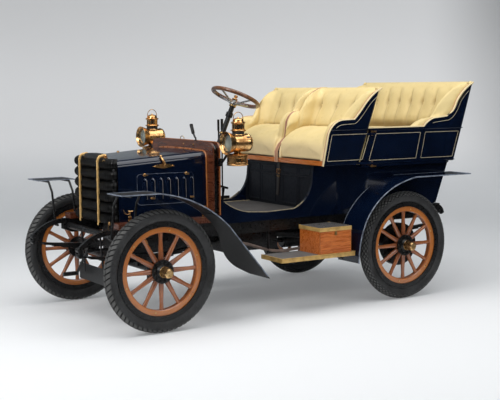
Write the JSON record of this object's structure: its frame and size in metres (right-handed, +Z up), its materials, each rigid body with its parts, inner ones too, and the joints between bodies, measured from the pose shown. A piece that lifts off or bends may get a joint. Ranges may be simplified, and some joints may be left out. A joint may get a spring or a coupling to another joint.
{
  "type": "brass era tonneau car",
  "caption": "Open brass era touring car with artillery wheels, gilled-tube radiator, front seats, rear tonneau, side lamps and steered front wheels.",
  "frame": {"origin": "on the ground under the middle of the overall length and width", "axes": "+X forward, +Y to the left side of the car, +Z up"},
  "size_m": [3.24, 1.58, 1.617],
  "materials": {
    "tyre_rubber": "matte black",
    "varnished_spokes": "clear varnish over orange-brown wood",
    "black_iron": "satin black",
    "navy_paint": "deep gloss coach paint",
    "gilled_black": "semi-gloss black",
    "brass": "polished",
    "mahogany": "varnished",
    "floor_mat": "worn grey",
    "cream_leather": "buttoned, soft sheen",
    "step_top": "grey with brass edging",
    "box_wood": "varnished oak",
    "lamp_glass": "clear bevelled",
    "rim_wood": "varnished walnut",
    "grey_steel": "brushed",
    "plate_black": "gloss black, blank"
  },
  "bodies": {
    "car": {"chassis_frame": "black_iron", "front_axle": "black_iron", "rear_axle": "black_iron", "front_springs": "black_iron", "rear_springs": "black_iron", "engine_and_gearbox": "black_iron", "silencer": "black_iron", "bonnet": "navy_paint", "radiator_tubes": "gilled_black", "radiator_bands": "brass", "dash": "mahogany", "wood_sills": "mahogany", "lower_body": "navy_paint", "floor_boards": "floor_mat", "rear_seat_box": "navy_paint", "driver_seat_tub": "navy_paint", "driver_squab": "cream_leather", "driver_cushion": "cream_leather", "tonneau_sides": "navy_paint", "tonneau_back": "navy_paint", "seat_hinges": "brass", "rear_squab": "cream_leather", "rear_cushion": "cream_leather", "front_wings": "navy_paint", "rear_wings": "navy_paint", "wing_and_step_irons": "black_iron", "steps": "step_top", "tool_box": "box_wood", "side_lamps": "brass", "lamp_glasses": "lamp_glass", "steering_column": "black_iron", "hand_levers": "black_iron", "foot_pedals": "black_iron", "number_plate": "plate_black", "starting_handle": "black_iron"},
    "left_knuckle": {"left_stub_axle": "black_iron"},
    "right_knuckle": {"right_stub_axle": "black_iron"},
    "tie": {"track_rod": "black_iron"},
    "steering": {"steering_rim": "rim_wood", "steering_spider": "grey_steel"},
    "passenger_seat": {"passenger_seat_tub": "navy_paint", "passenger_squab": "cream_leather", "passenger_cushion": "cream_leather"},
    "box_lid": {"tool_box_lid": "box_wood"},
    "front_left_wheel": {"front_left_tyre": "tyre_rubber", "front_left_wooden_wheel": "varnished_spokes", "front_left_wheel_iron": "black_iron"},
    "front_right_wheel": {"front_right_tyre": "tyre_rubber", "front_right_wooden_wheel": "varnished_spokes", "front_right_wheel_iron": "black_iron"},
    "rear_left_wheel": {"rear_left_tyre": "tyre_rubber", "rear_left_wooden_wheel": "varnished_spokes", "rear_left_wheel_iron": "black_iron"},
    "rear_right_wheel": {"rear_right_tyre": "tyre_rubber", "rear_right_wooden_wheel": "varnished_spokes", "rear_right_wheel_iron": "black_iron"}
  },
  "joints": [
    {"name": "left_steer", "type": "hinge", "parent": "car", "child": "left_knuckle", "pos_m": [1.155, 0.57, 0.405], "axis": [0, 0, 1], "range_deg": [-25, 25]},
    {"name": "right_steer", "type": "hinge", "parent": "car", "child": "right_knuckle", "pos_m": [1.155, -0.57, 0.405], "axis": [0, 0, 1], "range_deg": [-25, 25]},
    {"name": "track_rod_pivot", "type": "hinge", "parent": "left_knuckle", "child": "tie", "pos_m": [1.025, 0.57, 0.347], "axis": [0, 0, 1], "range_deg": [-25, 25]},
    {"name": "steering_turn", "type": "hinge", "parent": "car", "child": "steering", "pos_m": [-0.036, -0.3, 1.511], "axis": [-0.4051, 0, 0.9143], "range_deg": [-200, 200]},
    {"name": "front_left_spin", "type": "hinge", "parent": "left_knuckle", "child": "front_left_wheel", "pos_m": [1.155, 0.67, 0.405], "axis": [0, 1, 0], "continuous": true},
    {"name": "front_right_spin", "type": "hinge", "parent": "right_knuckle", "child": "front_right_wheel", "pos_m": [1.155, -0.67, 0.405], "axis": [0, 1, 0], "continuous": true},
    {"name": "rear_left_spin", "type": "hinge", "parent": "car", "child": "rear_left_wheel", "pos_m": [-0.905, 0.67, 0.405], "axis": [0, 1, 0], "continuous": true},
    {"name": "rear_right_spin", "type": "hinge", "parent": "car", "child": "rear_right_wheel", "pos_m": [-0.905, -0.67, 0.405], "axis": [0, 1, 0], "continuous": true},
    {"name": "passenger_seat_swing", "type": "hinge", "parent": "car", "child": "passenger_seat", "pos_m": [-0.62, 0.648, 1.15], "axis": [0, 0, 1], "range_deg": [0, 90]},
    {"name": "tool_box_lid_hinge", "type": "hinge", "parent": "car", "child": "box_lid", "pos_m": [-0.281, 0.494, 0.577], "axis": [1, 0, 0], "range_deg": [0, 85]}
  ],
  "couplings": [
    {"joint": "right_steer", "follows": "left_steer", "ratio": 1},
    {"joint": "track_rod_pivot", "follows": "left_steer", "ratio": -1},
    {"joint": "steering_turn", "follows": "left_steer", "ratio": 8}
  ]
}
